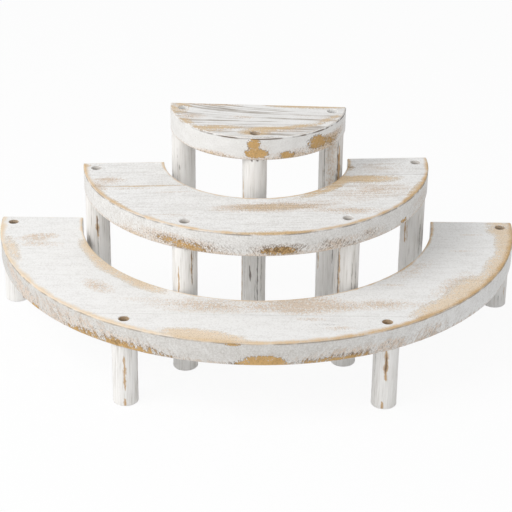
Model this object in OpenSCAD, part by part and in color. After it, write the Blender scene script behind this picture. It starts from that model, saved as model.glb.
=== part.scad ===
// Tiered display stand: three half-round risers that stand one inside the next.
// Each riser is a pine shelf, glued up edge to edge from planks that run along X,
// on round dowel legs. Each leg is butted under the shelf and held by one screw,
// driven from above through a counterbore. Every riser stands on its own legs.
// +Z is up, the floor is Z 0, the round fronts face -Y and the straight backs face +Y.

/* [Plan] */
// Radius of the top shelf, a half disc
top_r = 87; // [75:0.5:110]
// Width of the middle shelf, from its bay to its outer edge
middle_shelf_w = 80.5; // [70:0.5:110]
// Width of the bottom shelf, from its bay to its outer edge
bottom_shelf_w = 82.5; // [70:0.5:110]
// Play in radius between a riser and the bay that it stands in
nest_gap = 5; // [4:0.5:14]

/* [Heights] */
// Height of the top shelf's upper face
top_h = 212; // [185:1:260]
// Height of the middle shelf's upper face
middle_h = 154; // [120:1:175]
// Height of the bottom shelf's upper face
bottom_h = 86.5; // [75:0.5:110]

/* [Shelves] */
// Thickness of every shelf
shelf_t = 23; // [18:0.5:28]
// Bevel that eases the shelves' round edges
edge_ease = 1.2; // [0.4:0.1:3]
// Distance from the top shelf's back to its seam
top_seam = 53; // [35:1:58]
// Distance from the middle shelf's back to the seam across its left arm
middle_left_seam = 58; // [35:1:75]
// Distance from the middle shelf's back to the seam across its right arm
middle_right_seam = 43; // [35:1:75]
// Width of the middle shelf's wood between its bay and its front seam
middle_neck = 26; // [15:0.5:35]
// Distance from the bottom shelf's back to its rear seam
bottom_rear_seam = 60; // [40:1:75]
// Distance from the bottom shelf's back to its second seam
bottom_side_seam = 130; // [100:1:150]
// Width of the bottom shelf's wood between its bay and its front seam
bottom_neck = 29.5; // [15:0.5:35]

/* [Legs] */
// Diameter of the dowel legs
leg_d = 24; // [20:1:32]
// Distance from a leg's side to the shelf's outer and back edges
leg_inset = 0.5; // [0.5:0.5:8]
// Bevel round the foot of each leg
foot_ease = 1.5; // [0.5:0.1:3]

/* [Screws] */
// Length of the screws below the head
screw_l = 50; // [35:1:55]
// Diameter of the screws' shank
screw_d = 4.5; // [3:0.1:6]
// Length of the screws' point
point_l = 6; // [3:0.5:10]
// Diameter of the screws' head
head_d = 8.6; // [7:0.1:9.6]
// Height of the screws' head
head_h = 2.8; // [1.6:0.1:4]
// Length of each slot of the cross in the head
cross_l = 4.8; // [3:0.1:6]
// Width of each slot of the cross
cross_w = 1.2; // [0.6:0.1:1.6]
// Depth of the cross
cross_depth = 1.4; // [0.6:0.1:1.5]
// Depth of the counterbores
counterbore_depth = 9; // [5:0.5:12]

/* [Clearances] */
// Radial clearance of a screw's head in its counterbore
head_clearance = 0.7; // [0.3:0.1:1.5]
// Radial clearance of a screw's shank through the shelf
shank_clearance = 0.3; // [0.1:0.05:0.6]
// Radial clearance of a screw's shank in the leg's pilot hole
pilot_clearance = 0.05; // [0.02:0.01:0.2]
// Depth of the pilot hole past the screw's point
pilot_spare = 3; // [1:0.5:8]

/* [Set out] */
// Turn of the top riser about the middle of its back
top_turn = -2.1; // [-4:0.1:4]
// Turn of the middle riser about the middle of its back
middle_turn = 4.3; // [-5:0.1:5]
// Shift of the middle riser along X
middle_shift = -1.5; // [-2:0.1:2]
// Gap left in front of the middle riser in the bottom riser's bay
middle_front_gap = 1; // [1:0.5:4]

/* [Hidden] */
$fn = 96;

// Legs under the top shelf, and under each ring shelf
top_legs = 3;
ring_legs = 4;

// Radii that step out from the top shelf
middle_bay_r = top_r + nest_gap;
middle_r = middle_bay_r + middle_shelf_w;
bottom_bay_r = middle_r + nest_gap;
bottom_r = bottom_bay_r + bottom_shelf_w;

// Seams in front of the bays, which leave each ring's neck in one plank
middle_front_seam = middle_bay_r + middle_neck;
bottom_front_seam = bottom_bay_r + bottom_neck;

// Centre of each riser's back edge, before the origin is moved under the whole stand
top_at = [0, 0];
middle_at = [middle_shift, middle_front_gap - nest_gap];
bottom_at = [0, 0];

// The rearmost of the turned back edges, and the middle of the stand's depth
back_y = max(
    bottom_at.y,
    middle_at.y + middle_r * sin(abs(middle_turn)),
    top_at.y + top_r * sin(abs(top_turn))
);
depth_mid_y = (back_y + bottom_at.y - bottom_r) / 2;

// A cut runs this far past the face that it opens
past = 1;

// Colours of the whitewashed wood and the zinc-plated screws
shelf_color = "#EDE8DF";
leg_color = "#E3E1DC";
screw_color = "#8E8C86";

// Centre of leg i of count, counted from the rear left leg round the front.
// The end legs stand at the back edge and the rest are spaced evenly between them.
function leg_at(shelf_r, count, i) =
    let (
        edge = leg_d / 2 + leg_inset,
        ring_r = shelf_r - edge,
        end_angle = acos(edge / ring_r),
        angle = end_angle * (2 * i / (count - 1) - 1)
    )
    [ring_r * sin(angle), -ring_r * cos(angle)];

// Puts a riser drawn about the middle of its back edge in its place in the stand
module set_out(at, turn) {
    translate([at.x, at.y - depth_mid_y, 0]) rotate([0, 0, turn]) children();
}

module top_riser_place() { set_out(top_at, top_turn) children(); }
module middle_riser_place() { set_out(middle_at, middle_turn) children(); }
module bottom_riser_place() { set_out(bottom_at, 0) children(); }

// Section of a ring shelf from its bay to its outer edge, with all four edges eased
module ring_section(shelf_r, bay_r) {
    polygon([
        [bay_r + edge_ease, 0], [shelf_r - edge_ease, 0],
        [shelf_r, edge_ease], [shelf_r, shelf_t - edge_ease],
        [shelf_r - edge_ease, shelf_t], [bay_r + edge_ease, shelf_t],
        [bay_r, shelf_t - edge_ease], [bay_r, edge_ease]
    ]);
}

// Section of the half-disc shelf from its middle to its outer edge
module disc_section(shelf_r) {
    polygon([
        [0, 0], [shelf_r - edge_ease, 0],
        [shelf_r, edge_ease], [shelf_r, shelf_t - edge_ease],
        [shelf_r - edge_ease, shelf_t], [0, shelf_t]
    ]);
}

// Counterbores and shank holes of a shelf that is drawn from Z 0 up
module screw_holes(shelf_r, count) {
    for (i = [0 : count - 1]) {
        translate(leg_at(shelf_r, count, i)) {
            translate([0, 0, -past])
                cylinder(d = screw_d + 2 * shank_clearance, h = shelf_t + 2 * past);
            translate([0, 0, shelf_t - counterbore_depth])
                cylinder(d = head_d + 2 * head_clearance, h = counterbore_depth + past);
        }
    }
}

// The stretch of a shelf between two distances from its back edge.
// side is -1 for the left half alone, 1 for the right half and 0 for both.
module plank(shelf_r, bay_r, shelf_h, count, from, to, side = 0) {
    reach = shelf_r + past;
    translate([0, 0, shelf_h - shelf_t]) difference() {
        intersection() {
            rotate([0, 0, 180]) rotate_extrude(angle = 180) {
                if (bay_r > 0) ring_section(shelf_r, bay_r);
                else disc_section(shelf_r);
            }
            translate([side > 0 ? 0 : -reach, -to, -past])
                cube([side == 0 ? 2 * reach : reach, to - from, shelf_t + 2 * past]);
        }
        screw_holes(shelf_r, count);
    }
}

// One dowel leg with an eased foot and a pilot hole down from its top
module leg(shelf_r, shelf_h, count, i) {
    leg_l = shelf_h - shelf_t;
    pilot_depth = screw_l - (shelf_t - counterbore_depth) + pilot_spare;
    translate(leg_at(shelf_r, count, i)) difference() {
        union() {
            cylinder(d1 = leg_d - 2 * foot_ease, d2 = leg_d, h = foot_ease);
            translate([0, 0, foot_ease]) cylinder(d = leg_d, h = leg_l - foot_ease);
        }
        translate([0, 0, leg_l - pilot_depth])
            cylinder(d = screw_d + 2 * pilot_clearance, h = pilot_depth + past);
    }
}

// One screw, seated at Z 0 with its shank downwards
module screw() {
    rim_h = head_h / 2;
    crown_d = head_d * 3 / 4;
    difference() {
        union() {
            cylinder(d = head_d, h = rim_h);
            translate([0, 0, rim_h]) cylinder(d1 = head_d, d2 = crown_d, h = head_h - rim_h);
            translate([0, 0, point_l - screw_l]) cylinder(d = screw_d, h = screw_l - point_l);
            translate([0, 0, -screw_l]) cylinder(d1 = 0, d2 = screw_d, h = point_l);
        }
        for (turn = [0, 90])
            rotate([0, 0, turn]) translate([-cross_l / 2, -cross_w / 2, head_h - cross_depth])
                cube([cross_l, cross_w, cross_depth + past]);
    }
}

// The screws of one riser, each seated on the floor of its counterbore
module screws(shelf_r, shelf_h, count) {
    for (i = [0 : count - 1])
        translate(concat(leg_at(shelf_r, count, i), shelf_h - counterbore_depth)) screw();
}

// Planks, legs and screws of the top riser
module top_plank(from, to) {
    color(shelf_color) top_riser_place() plank(top_r, 0, top_h, top_legs, from, to);
}
module top_leg(i) {
    color(leg_color) top_riser_place() leg(top_r, top_h, top_legs, i);
}
module top_rear_plank() { top_plank(0, top_seam); }
module top_front_plank() { top_plank(top_seam, top_r + past); }
module top_left_leg() { top_leg(0); }
module top_front_leg() { top_leg(1); }
module top_right_leg() { top_leg(2); }
module top_screws() {
    color(screw_color) top_riser_place() screws(top_r, top_h, top_legs);
}

// Planks, legs and screws of the middle riser
module middle_plank(from, to, side = 0) {
    color(shelf_color) middle_riser_place()
        plank(middle_r, middle_bay_r, middle_h, ring_legs, from, to, side);
}
module middle_leg(i) {
    color(leg_color) middle_riser_place() leg(middle_r, middle_h, ring_legs, i);
}
module middle_left_plank() { middle_plank(0, middle_left_seam, -1); }
module middle_right_plank() { middle_plank(0, middle_right_seam, 1); }
module middle_bay_plank() {
    middle_plank(middle_left_seam, middle_front_seam, -1);
    middle_plank(middle_right_seam, middle_front_seam, 1);
}
module middle_front_plank() { middle_plank(middle_front_seam, middle_r + past); }
module middle_rear_left_leg() { middle_leg(0); }
module middle_front_left_leg() { middle_leg(1); }
module middle_front_right_leg() { middle_leg(2); }
module middle_rear_right_leg() { middle_leg(3); }
module middle_screws() {
    color(screw_color) middle_riser_place() screws(middle_r, middle_h, ring_legs);
}

// Planks, legs and screws of the bottom riser
module bottom_plank(from, to, side = 0) {
    color(shelf_color) bottom_riser_place()
        plank(bottom_r, bottom_bay_r, bottom_h, ring_legs, from, to, side);
}
module bottom_leg(i) {
    color(leg_color) bottom_riser_place() leg(bottom_r, bottom_h, ring_legs, i);
}
module bottom_left_end_plank() { bottom_plank(0, bottom_rear_seam, -1); }
module bottom_right_end_plank() { bottom_plank(0, bottom_rear_seam, 1); }
module bottom_left_side_plank() { bottom_plank(bottom_rear_seam, bottom_side_seam, -1); }
module bottom_right_side_plank() { bottom_plank(bottom_rear_seam, bottom_side_seam, 1); }
module bottom_bay_plank() { bottom_plank(bottom_side_seam, bottom_front_seam); }
module bottom_front_plank() { bottom_plank(bottom_front_seam, bottom_r + past); }
module bottom_rear_left_leg() { bottom_leg(0); }
module bottom_front_left_leg() { bottom_leg(1); }
module bottom_front_right_leg() { bottom_leg(2); }
module bottom_rear_right_leg() { bottom_leg(3); }
module bottom_screws() {
    color(screw_color) bottom_riser_place() screws(bottom_r, bottom_h, ring_legs);
}

top_rear_plank();
top_front_plank();
top_left_leg();
top_front_leg();
top_right_leg();
top_screws();
middle_left_plank();
middle_right_plank();
middle_bay_plank();
middle_front_plank();
middle_rear_left_leg();
middle_front_left_leg();
middle_front_right_leg();
middle_rear_right_leg();
middle_screws();
bottom_left_end_plank();
bottom_right_end_plank();
bottom_left_side_plank();
bottom_right_side_plank();
bottom_bay_plank();
bottom_front_plank();
bottom_rear_left_leg();
bottom_front_left_leg();
bottom_front_right_leg();
bottom_rear_right_leg();
bottom_screws();
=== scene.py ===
import math

import bpy
from mathutils import Matrix, Vector


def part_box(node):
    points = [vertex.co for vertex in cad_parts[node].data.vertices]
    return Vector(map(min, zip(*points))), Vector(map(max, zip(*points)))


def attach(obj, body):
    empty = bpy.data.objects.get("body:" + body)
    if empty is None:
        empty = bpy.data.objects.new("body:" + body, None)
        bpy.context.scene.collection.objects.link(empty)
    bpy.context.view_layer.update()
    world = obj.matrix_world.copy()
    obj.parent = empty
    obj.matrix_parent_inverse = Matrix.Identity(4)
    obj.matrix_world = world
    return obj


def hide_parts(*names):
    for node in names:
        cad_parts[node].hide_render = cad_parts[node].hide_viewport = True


bl_info = {
    "name": "Tiered display stand",
    "version": (1, 0, 0),
    "blender": (4, 5, 0),
    "location": "3D View > Sidebar > Display stand",
    "description": "Three whitewashed half-round risers on dowel legs, modelled round a packed frame",
    "category": "Object",
}

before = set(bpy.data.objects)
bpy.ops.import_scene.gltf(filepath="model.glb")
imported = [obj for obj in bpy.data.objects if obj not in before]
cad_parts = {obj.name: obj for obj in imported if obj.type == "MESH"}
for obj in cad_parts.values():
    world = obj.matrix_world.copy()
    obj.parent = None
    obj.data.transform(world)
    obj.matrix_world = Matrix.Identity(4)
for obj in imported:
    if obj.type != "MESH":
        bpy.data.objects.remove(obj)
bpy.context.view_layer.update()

MM = 0.001

# The boards of a shelf are this far apart, in mm, where their patterns are looked up
BOARD_APART = 400

# Points that are nearer than this to a plane are on it
SAME = 1e-6

# Sides of the legs, and of the holes and the screws' heads
LEG_SIDES = 176
HOLE_SIDES = 48

# How deep wear has gone into the shelves' edges at most, and the open grain into the legs
WORN_DEPTH = 0.5 * MM
GRAIN_DEPTH = 0.35 * MM

# The lamps: name, place, width and power
LAMPS = (
    ("key_lamp", (-1.20, -0.68, 1.53), 1.2, 19.5),
    ("front_lamp", (-0.6, -2.2, 1.3), 1.6, 6.5),
)

# Where the photograph was taken from: yaw to the right, pitch down and roll in degrees, the camera's place,
# and its lens in mm
CAMERA_TURNS = (0.038, 26.312, 0.722)
CAMERA_PLACE = (-1.39 * MM, -1463.93 * MM, 830.46 * MM)
CAMERA_LENS = 120.51

LEGS = {
    "top": ("top_left_leg", "top_front_leg", "top_right_leg"),
    "middle": (
        "middle_rear_left_leg", "middle_front_left_leg",
        "middle_front_right_leg", "middle_rear_right_leg",
    ),
    "bottom": (
        "bottom_rear_left_leg", "bottom_front_left_leg",
        "bottom_front_right_leg", "bottom_rear_right_leg",
    ),
}

# Each plank's node, its row counted from the back edge, and its side: -1 left, 1 right, 0 both
PLANKS = {
    "top": (("top_rear_plank", 0, 0), ("top_front_plank", 1, 0)),
    "middle": (
        ("middle_left_plank", 0, -1), ("middle_right_plank", 0, 1),
        ("middle_bay_plank", 1, 0), ("middle_front_plank", 2, 0),
    ),
    "bottom": (
        ("bottom_left_end_plank", 0, -1), ("bottom_right_end_plank", 0, 1),
        ("bottom_left_side_plank", 1, -1), ("bottom_right_side_plank", 1, 1),
        ("bottom_bay_plank", 2, 0), ("bottom_front_plank", 3, 0),
    ),
}

# The worn places on a face reach from the middle height in mm by the half size, and those on a rim inward
# from the outer edge
FACE_DEPTH = (22, 8)
RIM_DEPTH = (0, 6)

# Worn places on the shelves' upper faces. Each has the board that it keeps to, counted from the back, or
# None where it runs over the seams, its middle, its half sizes, its turn in degrees and its strength, in mm
# from the middle of the back edge: across to the right, and forward as a negative number.
FACE_RUBBED = {
    "top": {
        "rear strip, left": (0, (-42, -2), (42, 7), 0, 1.2),
        "left stripes": (0, (-68, -36), (26, 12), 0, 1.1),
        "knot": (0, (-14, -35), (18, 7), 0, 1.2),
        "front right": (1, (24, -66), (34, 9), 8, 0.9),
        "left front": (1, (-38, -66), (44, 13), 6, 0.8),
        "right edge": (None, (66, -40), (30, 12), 45, 0.7),
        "right stripes": (0, (44, -30), (36, 9), 0, 0.5),
    },
    "middle": {
        "speckle by the left hole": (0, (-148, -45), (24, 14), 0, 1.2),
        "left edge": (None, (-158, -62), (20, 10), -60, 1.2),
        "line by the left seam": (1, (-128, -65), (36, 2.6), 0, 1.2),
        "second line": (1, (-80, -74), (34, 3), 0, 0.8),
        "front streak": (None, (4, -113.5), (62, 12), 2, 1.5),
        "round the front streak": (None, (20, -112), (100, 20), 3, 0.75),
        "streak right of it": (2, (84, -125), (46, 10), -2, 1.2),
        "left front": (2, (-92, -128), (44, 9), 0, 0.45),
        "right arm, middle": (1, (108, -80), (66, 28), 12, 0.85),
        "right arm, back": (0, (122, -24), (50, 24), 0, 0.5),
    },
    "bottom": {
        "triangle on the left end": (0, (-218, -48), (28, 12), 14, 1.5),
        "specks in front of it": (None, (-214, -64), (34, 10), 0, 0.9),
        "patch on the left": (None, (-149, -153), (26, 14), -40, 1.2),
        "left front, lines": (2, (-112, -178), (34, 8), 0, 0.5),
        "speckle left of the neck": (2, (-44, -190), (76, 21), -3, 1.15),
        "neck": (2, (44, -186), (56, 25), 0, 2.0),
        "right of the neck": (2, (118, -184), (56, 16), 4, 1.1),
        "right inner edge": (None, (152, -112), (50, 17), 50, 0.6),
        "right end, lines": (0, (216, -31), (26, 4), 0, 0.7),
        "right side, line": (1, (202, -68), (28, 4), 0, 0.6),
        "bay, line": (2, (127, -144), (24, 4), 0, 0.6),
        "specks on the front board": (3, (50, -214), (20, 5), 0, 1.0),
        "specks in front of them": (3, (76, -230), (20, 7), 0, 0.9),
        "inside the right edge": (None, (186, -142), (52, 16), 52, 0.9),
    },
}
FACE_BARE = {
    "top": {
        "rear left corner": (None, (-79, -12), (18, 22), 0, 1.4),
        "rear strip, right": (0, (48, -2), (52, 8), 0, 1.6),
        "left band": (1, (-42, -64.5), (38, 9.5), 8, 1.5),
        "right band": (1, (12, -63), (28, 8), 7, 1.45),
        "right band, far end": (None, (44, -53.5), (26, 6.5), 18, 1.2),
        "round the front hole": (1, (-1, -73), (20, 11), 0, 1.4),
        "right edge": (None, (70, -35), (26, 6), 50, 0.95),
        "left edge": (None, (-68, -48), (22, 7), -52, 1.1),
    },
    "middle": {
        "right arm": (1, (100, -50.5), (50, 16), 0, 1.5),
        "along the left seam": (None, (-112, -59), (66, 2.6), 0, 1.0),
        "dark inner corner": (0, (91, -23), (8, 11), 0, 1.0),
        "rear left spot": (0, (-170, -6), (7, 6), 0, 1.2),
        "right inner edge, back": (None, (76, -60), (26, 9), 55, 1.3),
        "right inner edge": (None, (54, -82), (36, 8), 32, 1.2),
        "right outer edge": (None, (152, -78), (50, 8), 62, 1.3),
        "front edge, middle": (None, (6, -170.5), (76, 6), 2, 1.7),
        "left outer edge": (None, (-142, -96), (46, 6), -56, 1.1),
    },
    "bottom": {
        "left inner edge, back": (None, (-164, -74), (34, 11), -66, 1.4),
        "left inner edge, middle": (None, (-143, -112), (34, 13), -52, 1.6),
        "left inner edge, front": (None, (-108, -147), (38, 12), -38, 1.6),
        "left edge": (None, (-240, -74), (44, 9), -72, 0.9),
        "front edge, left": (None, (-46, -247), (50, 14), -13, 2.4),
        "right edge, front": (None, (168, -186), (44, 14), 42, 1.5),
        "right edge, middle": (None, (202, -149), (46, 20), 52, 1.7),
        "right edge, back": (None, (235, -96), (44, 15), 68, 1.5),
        "right edge, rear": (None, (248, -50), (38, 14), 80, 1.6),
        "rear right hole": (None, (246, -16), (18, 28), 0, 1.4),
    },
}

# Worn places on the shelves' rims: angle from the front towards the right in degrees and height above the
# underside in mm, and the half sizes, turn and strength as above
RIM_RUBBED = {
    "top": {
        "low left edge": (None, (-26, 2), (16, 5), 0, 1.1),
        "round the blobs": (None, (1, 9), (13, 13), 0, 0.7),
        "low right edge": (None, (26, 3), (18, 9), 0, 1.2),
        "right patch": (None, (50, 8), (17, 9), -8, 3.2),
        "right patch, fading": (None, (62, 10), (16, 8), 0, 1.2),
        "right end": (None, (76, 13), (14, 9), 0, 0.4),
    },
    "middle": {
        "left third": (None, (-42, 10), (32, 15), 0, 0.35),
        "left patch": (None, (-27, 6), (19, 10), -13, 1.3),
        "specks round the front patch": (None, (3.4, 6), (13, 9), 0, 1.1),
        "specks on the right": (None, (22, 6), (10, 9), 0, 1.0),
        "specks further right": (None, (34.7, 8), (10, 9), 0, 0.7),
        "low on the left": (None, (-47, 3.4), (8, 5), 0, 0.9),
        "right end": (None, (66, 10), (14, 14), 0, 0.6),
    },
    "bottom": {
        "left end": (None, (-61.5, 11), (7, 16), 40, 1.6),
        "left side": (None, (-42, 9), (24, 16), 0, 0.95),
        "over the left ragged edge": (None, (-28, 5), (18, 10), 0, 0.9),
        "round the half moon": (None, (1.3, 4), (10, 11), 0, 0.7),
        "over the right ragged edge": (None, (20, 5), (15, 11), 0, 1.1),
        "end of the ragged edge": (None, (29, 7), (4, 8), 0, 0.8),
        "grey patch": (None, (38, 8), (6, 10), 0, 0.9),
        "right side": (None, (48, 8), (20, 14), 0, 0.15),
    },
}
RIM_BARE = {
    "top": {
        "blob over the front leg": (None, (-0.5, 17.2), (5.6, 7.6), 0, 1.7),
        "blob below it": (None, (1.2, 7), (10, 6.4), 0, 1.7),
        "small blob": (None, (20.9, 4.2), (6.4, 5), 0, 1.5),
        "right patch, front": (None, (41.5, 12), (10.5, 9.5), 0, 1.25),
        "right patch, far end": (None, (55, 7), (19, 8.5), -8, 0.7),
    },
    "middle": {
        "left patch": (None, (-27, 5.6), (17, 8), -13, 0.85),
        "front patch": (None, (3.4, 5.5), (8.8, 6), 0, 1.3),
        "right spot": (None, (51.3, 4), (3, 3.5), 0, 1.1),
    },
    "bottom": {
        "left spot": (None, (-53.5, 2), (2, 3), 0, 1.3),
        "left ragged edge": (None, (-30, 2), (20, 10), 0, 0.95),
        "half moon at the front": (None, (1.4, -0.5), (6.7, 12), 0, 3.2),
        "right ragged edge": (None, (16, 1.5), (15, 7.5), 0, 0.72),
        "chip under the top edge": (None, (-4.5, 21), (2.5, 2), 0, 1.2),
    },
}

# Places where old stain shows darkest, on the faces and on the rims, given as above
FACE_STAINED = {
    "top": {
        "round the front hole": (1, (-3, -73), (17, 7), 0, 0.9),
        "knot": (0, (-14, -36), (20, 4), 0, 0.6),
        "front edge": (1, (16, -83), (26, 4), 8, 0.8),
    },
    "middle": {
        "inner corner": (0, (92, -22), (9, 11), 0, 0.8),
        "right seam": (None, (112, -44), (34, 2.4), 0, 0.8),
        "right of the streak": (1, (66, -106), (60, 14), 0, 0.45),
        "under the left hole": (0, (-146, -46), (22, 9), 0, 0.5),
    },
    "bottom": {
        "rear right hole": (None, (246, -14), (14, 10), 0, 0.6),
        "specks on the front board": (3, (62, -222), (34, 13), 0, 0.5),
        "right bay": (2, (110, -170), (60, 24), 0, 0.25),
    },
}
RIM_STAINED = {
    "top": {
        "left blobs": (None, (0.5, 10), (9, 12), 0, 0.35),
        "low left edge": (None, (-24, 2), (22, 4), 0, 0.45),
    },
    "middle": {
        "front patch": (None, (3.4, 6.5), (12, 7), 0, 0.85),
        "right specks": (None, (20, 6), (8, 8), 0, 0.6),
        "low specks": (None, (28, 3), (5, 4), 0, 0.65),
        "far specks": (None, (35, 8), (6, 7), 0, 0.45),
        "left patch": (None, (-22, 6), (20, 10), -13, 0.35),
        "whole rim": (None, (0, 11), (95, 20), 0, 0.3),
    },
    "bottom": {
        "left side": (None, (-42, 10), (24, 15), 0, 0.4),
        "left ragged edge": (None, (-28, 4), (18, 7), 0, 0.4),
        "left end of the half moon": (None, (-4.5, 1.5), (3.5, 3.5), 0, 1.0),
        "over the right ragged edge": (None, (18, 5.5), (14, 4.5), 0, 0.75),
        "grey patch": (None, (38, 8), (7, 12), 0, 0.3),
        "right side": (None, (52, 10), (22, 15), 0, 0.15),
    },
}

# How each riser is finished. Shares run from 0 to 1: how strongly the grain and the brush mottling show on
# the face, how grey the paint is on the face and on the rim, in front and on the right, how dark the seams
# and the line along the outer edge are, and how much of that line is left at its left end, how bare the band
# rubbed along that edge is, how golden it is left and right, how painted the holes are at the back and at the
# front, and how strong the painted shade down the holes is at the back and at the front. The width and length
# of the grain's lines, the width of the band, the slant of the grain and the width and length of the strokes
# on the rim are in mm. The marks say how far wear follows the grain. The last three are how far grain shows
# on a worn rim, how pale the worn faces are, and how much of the thin wash is covered by chips of paint.
FINISH = {
    "top": {
        "grain": 0.85, "line": 2.1, "grain_l": 85, "mottle": 0.5, "grey_face": 0.2,
        "grey_rim": (0.34, 0.1), "seams": (0.1,),
        "edge_line": 0.95, "left_edge_line": 0.1, "band": 1.2, "band_share": 0.45,
        "band_gold": (0.3, 0.4), "slant": 26,
        "painted_holes": (1.0, 0.35), "painted_hole_shade": (0.25, 0.7), "face_marks": 3.4, "rim_marks": 1.6,
        "stroke": (2.2, 9.0), "rim_grain": 0.25, "pale": 0.0, "chips": 0.0,
    },
    "middle": {
        "grain": 0.13, "line": 3.0, "grain_l": 50, "mottle": 1.4, "grey_face": 0.18,
        "grey_rim": (0.44, 0.34), "seams": (0.5, 0.1),
        "edge_line": 0.6, "left_edge_line": 1.0, "band": 3.0, "band_share": 0.9,
        "band_gold": (0.6, 0.95), "slant": 0,
        "painted_holes": (0.85, 0.85), "painted_hole_shade": (0.5, 0.55), "face_marks": 2.6, "rim_marks": 1.4,
        "stroke": (1.6, 2.6), "rim_grain": 0.35, "pale": 0.2, "chips": 0.3,
    },
    "bottom": {
        "grain": 0.05, "line": 3.0, "grain_l": 50, "mottle": 1.2, "grey_face": 0.08,
        "grey_rim": (0.74, 0.2), "seams": (0.1, 0.1, 0.25),
        "edge_line": 0.45, "left_edge_line": 1.0, "band": 4.0, "band_share": 0.85,
        "band_gold": (0.1, 1.0), "slant": 0,
        "painted_holes": (0.3, 0.2), "painted_hole_shade": (0.7, 0.28), "face_marks": 0.9, "rim_marks": 4.2,
        "stroke": (3.4, 8.0), "rim_grain": 0.7, "pale": 1.0, "chips": 0.75,
    },
}

# Drying cracks in the legs, each from its top end to its low end, given as angle from the front towards the
# right in degrees and height in mm, then its half width in mm and its strength. The dark low corners and the
# dark low side are painted shade low on their legs, and the marks under the shelf on the top front leg are
# painted shade just under the top shelf; these are drawn in the crack colour and carved like the cracks.
CHECKS_AND_SHADE_MARKS = {
    "top_left_leg": {
        "thin check": ((-30, 172), (-31, 118), 0.5, 0.5),
        # Painted shade in the crack colour, low on the leg's left side
        "dark low corner": ((-64, 144), (-58, 116), 3.6, 0.5),
        "specks": ((-18, 156), (-18, 148), 1.2, 0.5),
    },
    "top_front_leg": {
        # The three marks under the shelf are painted shade just under the top shelf, in the crack colour
        "mark under the shelf": ((-14, 190), (-14, 186.5), 1.7, 1.1),
        "mark right of it": ((12, 190), (12, 186.5), 1.9, 0.9),
        "far right mark": ((48, 190), (48, 186.5), 1.8, 0.9),
        "short wedge": ((-19, 76), (-15, 58), 1.3, 1.1),
        "right check": ((20, 92), (20, 20), 0.9, 0.85),
        "middle check": ((9, 62), (8, 20), 0.6, 0.6),
        "left check": ((-46, 90), (-46, 30), 0.6, 0.5),
        "far right check": ((42, 90), (40, 40), 0.8, 0.6),
    },
    "top_right_leg": {
        "thin check": ((-35, 188), (-33, 120), 0.6, 0.85),
        "beside the bare streak": ((33, 186), (35, 128), 1.0, 0.8),
        # Painted shade in the crack colour, low on the leg's right side
        "dark low side": ((26, 150), (40, 118), 4.0, 0.55),
        "low left line": ((-70, 110), (-68, 40), 0.7, 0.7),
        "low right line": ((20, 104), (22, 50), 1.0, 0.9),
    },
    "middle_rear_left_leg": {
        "brown check": ((1, 106), (4, 86), 1.2, 0.8),
        "thin check": ((4, 86), (0, 60), 0.7, 0.5),
        # Painted shade in the crack colour, low on the leg's left side
        "dark low corner": ((-48, 84), (-34, 56), 5.0, 0.5),
        "right edge": ((74, 110), (74, 60), 1.2, 0.5),
    },
    "middle_front_left_leg": {
        "brown check": ((36, 131), (38, 92), 0.8, 0.85),
    },
    "middle_front_right_leg": {
        "left check": ((-45, 131), (-44, 50), 0.9, 0.85),
        "right check": ((26, 112), (26, 80), 0.7, 0.65),
        "edge check": ((48, 112), (46, 70), 0.8, 0.7),
    },
    "middle_rear_right_leg": {
        "right streak": ((43, 94), (40, 52), 1.6, 0.42),
        "edge streak": ((66, 90), (64, 50), 2.0, 0.45),
    },
    "bottom_front_right_leg": {
        "middle of the bare streak": ((-1, 58), (-3, 38), 1.8, 0.7),
        "left line": ((-58, 62), (-58, 30), 0.7, 0.5),
    },
    "bottom_rear_right_leg": {
        "short check": ((13, 14), (13, 3), 0.8, 0.6),
    },
}

BARE_STREAKS = {
    "top_front_leg": {
        "left edge": ((-64, 170), (-60, 120), 1.4, 0.7),
        "low left edge": ((-76, 92), (-72, 20), 2.0, 0.9),
    },
    "top_right_leg": {
        "bare streak": ((41, 178), (43, 124), 2.4, 1.1),
        "brown tint": ((4, 205), (4, 70), 13.0, 0.3),
        "low left line": ((-58, 90), (-56, 40), 1.2, 0.8),
    },
    "middle_rear_left_leg": {
        "round the check": ((0, 106), (3, 82), 2.4, 0.8),
    },
    "middle_front_left_leg": {
        "left line": ((-28, 112), (-27, 76), 1.3, 0.9),
        "round the check": ((34, 130), (36, 92), 1.6, 0.7),
    },
    "middle_front_right_leg": {
        "round the left check": ((-38, 131), (-38, 60), 1.8, 0.65),
    },
    "middle_rear_right_leg": {
        "left line": ((-40, 102), (-40, 68), 1.6, 0.8),
        "second line": ((-28, 98), (-28, 70), 0.9, 0.5),
    },
    "bottom_front_left_leg": {
        "middle streak": ((2, 54), (2, 16), 2.2, 0.75),
        "foot": ((1, 8), (1, 1), 3.0, 0.9),
    },
    "bottom_front_right_leg": {
        "middle streak": ((-2, 64), (-2, 30), 3.2, 0.9),
        "foot": ((-12, 8), (-12, 1), 3.0, 0.9),
    },
    "bottom_rear_left_leg": {
        "foot": ((39, 9), (39, 4), 2.0, 0.6),
    },
    "bottom_rear_right_leg": {
        "right spot": ((44, 22), (44, 15), 1.6, 0.6),
    },
}


def from_hex(code):
    """Linear red, green, blue and alpha of an sRGB hex colour."""
    channels = [int(code[i:i + 2], 16) / 255 for i in (1, 3, 5)]
    linear = [c / 12.92 if c <= 0.04045 else ((c + 0.055) / 1.055) ** 2.4 for c in channels]
    return (*linear, 1.0)


def length(name, description, millimetres):
    """A length property with its default in millimetres."""
    return bpy.props.FloatProperty(
        name=name, description=description, default=millimetres * MM, unit="LENGTH", precision=5
    )


def colour(name, description, code):
    """A colour property with its default as an sRGB hex colour."""
    return bpy.props.FloatVectorProperty(
        name=name, description=description, default=from_hex(code), size=4, subtype="COLOR", min=0, max=1
    )


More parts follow.
